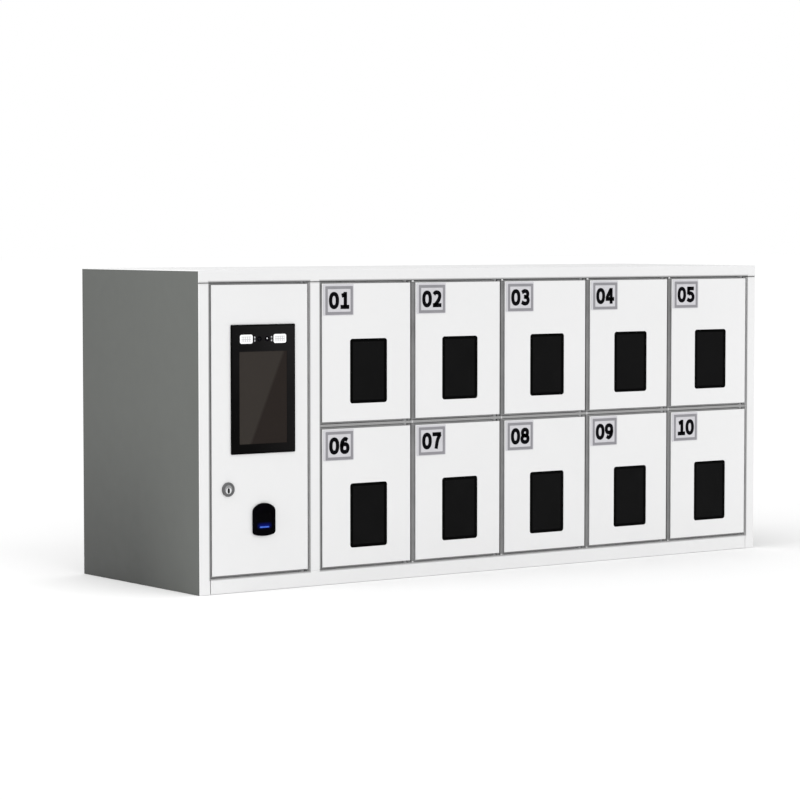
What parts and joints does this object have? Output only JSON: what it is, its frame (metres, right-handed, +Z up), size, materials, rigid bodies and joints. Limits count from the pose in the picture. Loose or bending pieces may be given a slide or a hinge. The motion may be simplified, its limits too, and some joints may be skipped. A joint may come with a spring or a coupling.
{
  "type": "phone locker",
  "caption": "Low steel locker with a bank of small numbered doors, each with a dark window, beside a tall control door with a face terminal, a cam lock and a fingerprint reader.",
  "frame": {"origin": "on the underside, below the middle of the box", "axes": "+X to the right along the front, +Y from the front to the back, +Z up"},
  "size_m": [0.97, 0.303, 0.42],
  "materials": {
    "white_paint": "white powder coat, satin",
    "grey_paint": "mid-grey powder coat, satin",
    "zinc_steel": "zinc plated",
    "latch_plastic": "moulded",
    "circuit_board": "solder mask",
    "supply_case": "plain",
    "black_plastic": "moulded",
    "cable_sheath": "smooth sheath",
    "bezel_black": "gloss black",
    "display_glass": "display switched off",
    "lamp_diffuser": "opal white",
    "lens_glass": "coated lens",
    "sensor_glass": "dark with a blue light bar",
    "lock_chrome": "nickel plated zinc",
    "smoked_acrylic": "smoked acrylic"
  },
  "bodies": {
    "cabinet": {"top_panel": "white_paint", "left_side_panel": "grey_paint", "right_side_panel": "grey_paint", "bottom_panel": "white_paint", "floor_panel": "white_paint", "back_panel": "grey_paint", "side_posts": "white_paint", "centre_post": "white_paint", "centre_partition": "white_paint", "column_dividers": "white_paint", "mid_shelf": "white_paint", "hinge_pins": "zinc_steel", "latch_cases": "latch_plastic", "control_board": "circuit_board", "power_supply": "supply_case", "power_inlet": "black_plastic", "lock_wiring": "cable_sheath", "case_screws": "zinc_steel"},
    "control_door": {"control_door": "white_paint", "terminal_housing": "black_plastic", "terminal_bezel": "bezel_black", "terminal_display": "display_glass", "terminal_lamps": "lamp_diffuser", "terminal_cameras": "lens_glass", "terminal_circuit": "circuit_board", "fingerprint_housing": "bezel_black", "fingerprint_window": "sensor_glass", "lock_housing": "lock_chrome"},
    "lock_plug": {"lock_plug": "lock_chrome", "lock_cam": "zinc_steel"},
    "door_01": {"door_01": "white_paint", "window_01": "smoked_acrylic"},
    "latch_bolt_01": {"latch_bolt_01": "zinc_steel"},
    "door_02": {"door_02": "white_paint", "window_02": "smoked_acrylic"},
    "latch_bolt_02": {"latch_bolt_02": "zinc_steel"},
    "door_03": {"door_03": "white_paint", "window_03": "smoked_acrylic"},
    "latch_bolt_03": {"latch_bolt_03": "zinc_steel"},
    "door_04": {"door_04": "white_paint", "window_04": "smoked_acrylic"},
    "latch_bolt_04": {"latch_bolt_04": "zinc_steel"},
    "door_05": {"door_05": "white_paint", "window_05": "smoked_acrylic"},
    "latch_bolt_05": {"latch_bolt_05": "zinc_steel"},
    "door_06": {"door_06": "white_paint", "window_06": "smoked_acrylic"},
    "latch_bolt_06": {"latch_bolt_06": "zinc_steel"},
    "door_07": {"door_07": "white_paint", "window_07": "smoked_acrylic"},
    "latch_bolt_07": {"latch_bolt_07": "zinc_steel"},
    "door_08": {"door_08": "white_paint", "window_08": "smoked_acrylic"},
    "latch_bolt_08": {"latch_bolt_08": "zinc_steel"},
    "door_09": {"door_09": "white_paint", "window_09": "smoked_acrylic"},
    "latch_bolt_09": {"latch_bolt_09": "zinc_steel"},
    "door_10": {"door_10": "white_paint", "window_10": "smoked_acrylic"},
    "latch_bolt_10": {"latch_bolt_10": "zinc_steel"}
  },
  "joints": [
    {"name": "control_door_hinge", "type": "hinge", "parent": "cabinet", "child": "control_door", "pos_m": [-0.3235, -0.144, 0.0235], "axis": [0, 0, 1], "range_deg": [0, 100]},
    {"name": "lock_turn", "type": "hinge", "parent": "control_door", "child": "lock_plug", "pos_m": [-0.4415, -0.134, 0.1356], "axis": [0, -1, 0], "range_deg": [0, 90]},
    {"name": "door_01_hinge", "type": "hinge", "parent": "cabinet", "child": "door_01", "pos_m": [-0.1554, -0.144, 0.217], "axis": [0, 0, 1], "range_deg": [0, 100]},
    {"name": "latch_01_bolt", "type": "slide", "parent": "cabinet", "child": "latch_bolt_01", "axis": [0, 0, 1], "range_m": [0, 0.0085]},
    {"name": "door_02_hinge", "type": "hinge", "parent": "cabinet", "child": "door_02", "pos_m": [-0.0018, -0.144, 0.217], "axis": [0, 0, 1], "range_deg": [0, 100]},
    {"name": "latch_02_bolt", "type": "slide", "parent": "cabinet", "child": "latch_bolt_02", "axis": [0, 0, 1], "range_m": [0, 0.0085]},
    {"name": "door_03_hinge", "type": "hinge", "parent": "cabinet", "child": "door_03", "pos_m": [0.1518, -0.144, 0.217], "axis": [0, 0, 1], "range_deg": [0, 100]},
    {"name": "latch_03_bolt", "type": "slide", "parent": "cabinet", "child": "latch_bolt_03", "axis": [0, 0, 1], "range_m": [0, 0.0085]},
    {"name": "door_04_hinge", "type": "hinge", "parent": "cabinet", "child": "door_04", "pos_m": [0.3054, -0.144, 0.217], "axis": [0, 0, 1], "range_deg": [0, 100]},
    {"name": "latch_04_bolt", "type": "slide", "parent": "cabinet", "child": "latch_bolt_04", "axis": [0, 0, 1], "range_m": [0, 0.0085]},
    {"name": "door_05_hinge", "type": "hinge", "parent": "cabinet", "child": "door_05", "pos_m": [0.459, -0.144, 0.217], "axis": [0, 0, 1], "range_deg": [0, 100]},
    {"name": "latch_05_bolt", "type": "slide", "parent": "cabinet", "child": "latch_bolt_05", "axis": [0, 0, 1], "range_m": [0, 0.0085]},
    {"name": "door_06_hinge", "type": "hinge", "parent": "cabinet", "child": "door_06", "pos_m": [-0.1554, -0.144, 0.0235], "axis": [0, 0, 1], "range_deg": [0, 100]},
    {"name": "latch_06_bolt", "type": "slide", "parent": "cabinet", "child": "latch_bolt_06", "axis": [0, 0, 1], "range_m": [0, 0.0085]},
    {"name": "door_07_hinge", "type": "hinge", "parent": "cabinet", "child": "door_07", "pos_m": [-0.0018, -0.144, 0.0235], "axis": [0, 0, 1], "range_deg": [0, 100]},
    {"name": "latch_07_bolt", "type": "slide", "parent": "cabinet", "child": "latch_bolt_07", "axis": [0, 0, 1], "range_m": [0, 0.0085]},
    {"name": "door_08_hinge", "type": "hinge", "parent": "cabinet", "child": "door_08", "pos_m": [0.1518, -0.144, 0.0235], "axis": [0, 0, 1], "range_deg": [0, 100]},
    {"name": "latch_08_bolt", "type": "slide", "parent": "cabinet", "child": "latch_bolt_08", "axis": [0, 0, 1], "range_m": [0, 0.0085]},
    {"name": "door_09_hinge", "type": "hinge", "parent": "cabinet", "child": "door_09", "pos_m": [0.3054, -0.144, 0.0235], "axis": [0, 0, 1], "range_deg": [0, 100]},
    {"name": "latch_09_bolt", "type": "slide", "parent": "cabinet", "child": "latch_bolt_09", "axis": [0, 0, 1], "range_m": [0, 0.0085]},
    {"name": "door_10_hinge", "type": "hinge", "parent": "cabinet", "child": "door_10", "pos_m": [0.459, -0.144, 0.0235], "axis": [0, 0, 1], "range_deg": [0, 100]},
    {"name": "latch_10_bolt", "type": "slide", "parent": "cabinet", "child": "latch_bolt_10", "axis": [0, 0, 1], "range_m": [0, 0.0085]}
  ]
}
